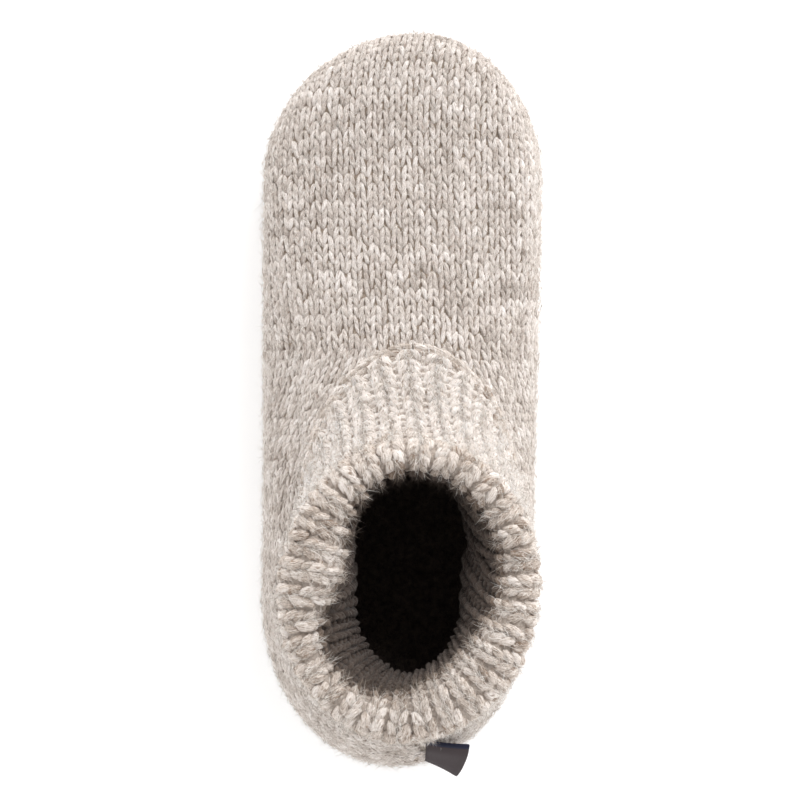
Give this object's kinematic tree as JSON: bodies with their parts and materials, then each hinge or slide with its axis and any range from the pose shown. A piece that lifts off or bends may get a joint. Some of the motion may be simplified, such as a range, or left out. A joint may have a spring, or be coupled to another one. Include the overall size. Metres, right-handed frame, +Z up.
{
  "type": "slipper sock",
  "caption": "Knitted slipper sock with a fat folded rib collar, plain knit foot, plush inside and soft flat sole; stands empty on a floor and fits either foot.",
  "frame": {"origin": "on the floor under the middle of the slipper sock's outline", "axes": "+Z up, +Y towards the toe, +X to the right-hand side seen from above"},
  "size_m": [0.1024, 0.2708, 0.1235],
  "materials": {
    "knit": "oatmeal marl wool, plain knit",
    "rib": "oatmeal marl wool, rib knit, brushed",
    "sole": "charcoal suede cloth with grip dots",
    "plush": "near-black pile",
    "label": "charcoal woven tape"
  },
  "bodies": {
    "root": {"knit_upper": "knit", "rib_collar": "rib", "sole": "sole", "insole": "plush", "label": "label"}
  },
  "joints": []
}
